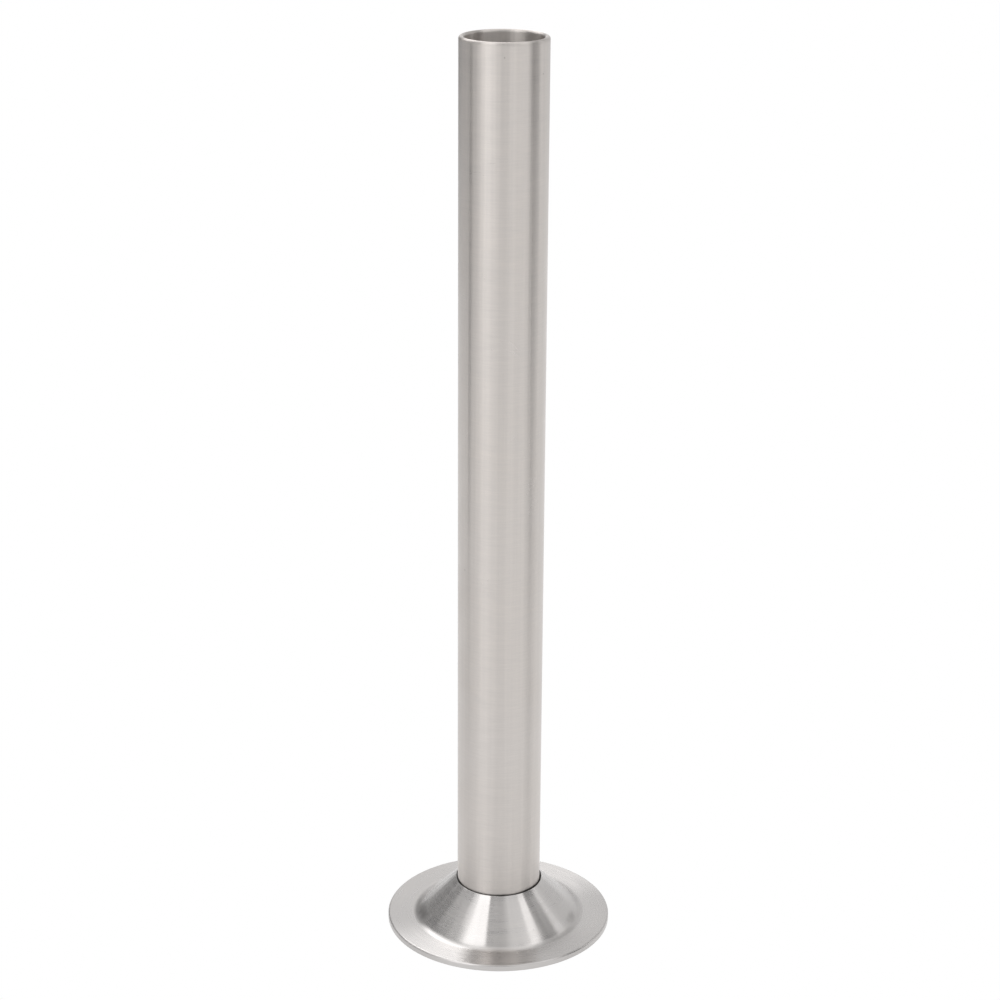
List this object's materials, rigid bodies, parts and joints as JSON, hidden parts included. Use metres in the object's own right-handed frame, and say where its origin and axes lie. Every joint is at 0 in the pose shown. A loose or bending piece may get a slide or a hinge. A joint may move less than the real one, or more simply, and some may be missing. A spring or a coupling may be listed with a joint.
{
  "type": "sausage stuffing tube",
  "caption": "Straight steel filling tube on a pressed funnel flange, clamped to a mincer or sausage stuffer; casings slide over the tube.",
  "frame": {"origin": "centre of the flange's flat underside", "axes": "+Z along the tube's axis, from the flange to the mouth; X and Y are equivalent, because every piece is a body of revolution about Z"},
  "size_m": [0.054, 0.054, 0.215],
  "materials": {
    "tube_steel": "satin, with fine lines round the tube from belt polishing",
    "flange_steel": "satin to bright, with fine turning lines round the axis",
    "weld_steel": "as welded, slightly rippled and heat tinted"
  },
  "bodies": {
    "root": {"tube": "tube_steel", "flange": "flange_steel", "weld_bead": "weld_steel"}
  },
  "joints": []
}
